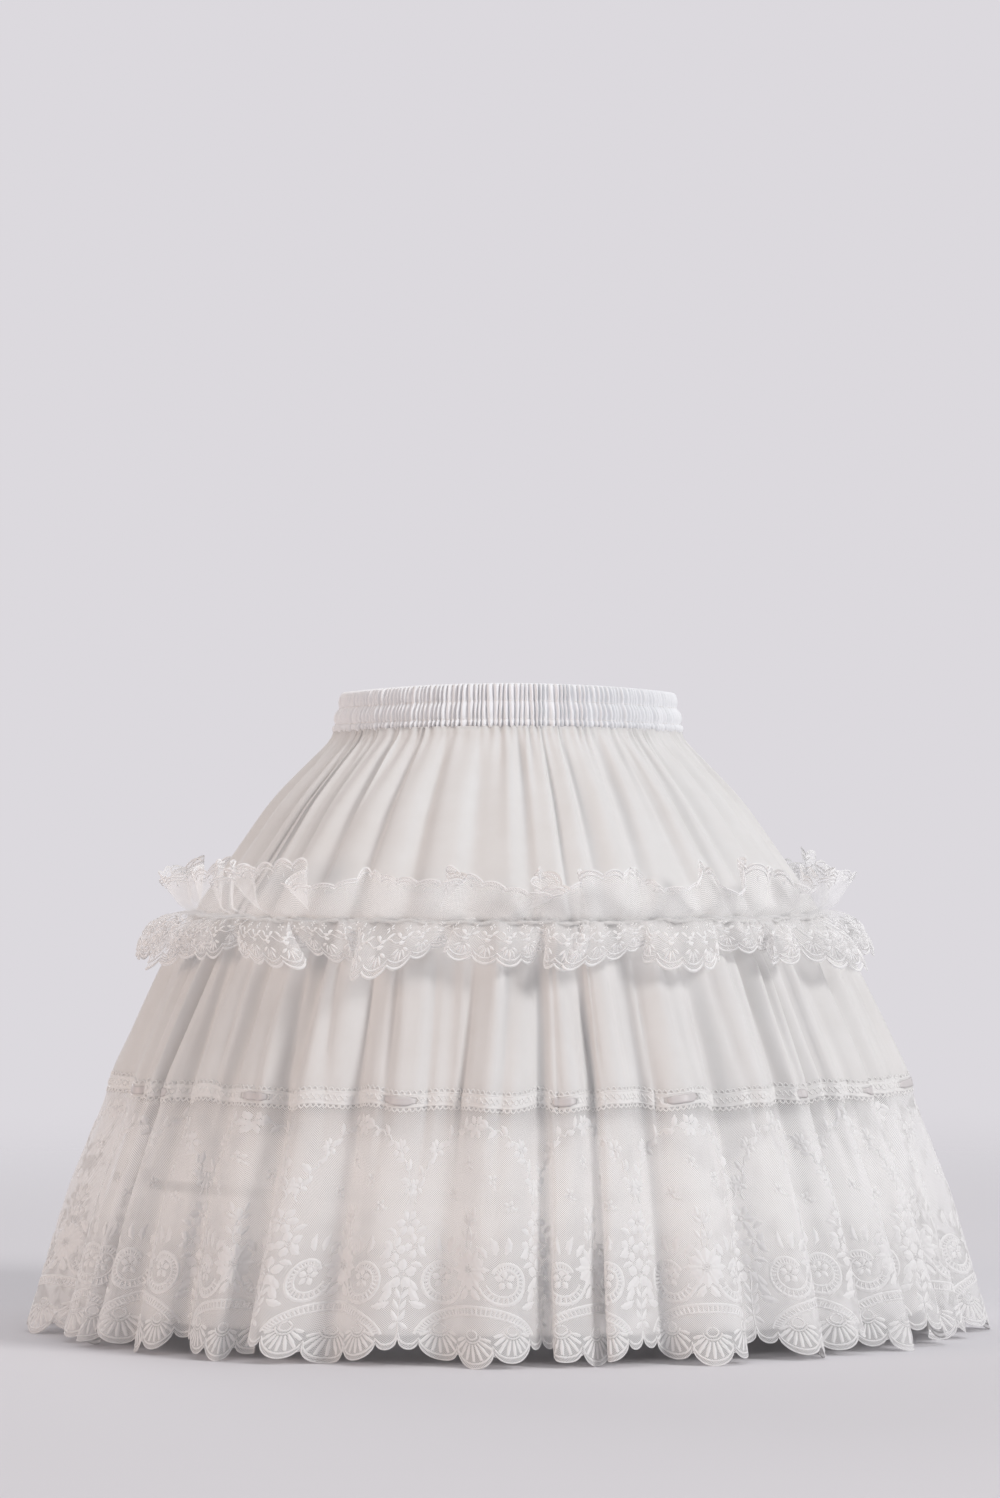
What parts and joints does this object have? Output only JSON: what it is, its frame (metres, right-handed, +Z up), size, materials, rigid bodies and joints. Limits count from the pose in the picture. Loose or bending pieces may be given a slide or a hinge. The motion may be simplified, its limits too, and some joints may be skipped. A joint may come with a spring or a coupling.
{
  "type": "hooped crinoline petticoat",
  "caption": "White hooped crinoline petticoat with a shirred elastic waist, gathered tiers, a double lace ruffle, ribbon beading and a scalloped lace flounce over a boned lining.",
  "frame": {"origin": "on the floor under the lowest scallops of the hem, in the middle of the skirt", "axes": "+Z up towards the waist, front of the skirt towards -Y, +X to the viewer's right as seen from the front"},
  "size_m": [0.7058, 0.7098, 0.475],
  "materials": {
    "tier_cloth": "soft matt",
    "band_cloth": "matt",
    "lining_cloth": "matt",
    "casing_tape": "twill",
    "frill_lace": "net lace",
    "flounce_lace": "embroidered net",
    "beading_lace": "picot edged",
    "ribbon_satin": "satin",
    "elastic": "braided",
    "hoop_steel": "white coated",
    "sleeve_steel": "crimped"
  },
  "bodies": {
    "root": {"waistband": "band_cloth", "upper_waist_elastic": "elastic", "lower_waist_elastic": "elastic", "lining": "lining_cloth", "upper_hoop_casing": "casing_tape", "middle_hoop_casing": "casing_tape", "lower_hoop_casing": "casing_tape", "upper_hoop": "hoop_steel", "middle_hoop": "hoop_steel", "lower_hoop": "hoop_steel", "upper_hoop_sleeve": "sleeve_steel", "middle_hoop_sleeve": "sleeve_steel", "lower_hoop_sleeve": "sleeve_steel", "upper_tier": "tier_cloth", "ruffle_seam": "casing_tape", "upper_frill": "frill_lace", "lower_frill": "frill_lace", "lower_tier": "tier_cloth", "beading": "beading_lace", "ribbon": "ribbon_satin", "lace_flounce": "flounce_lace"}
  },
  "joints": []
}
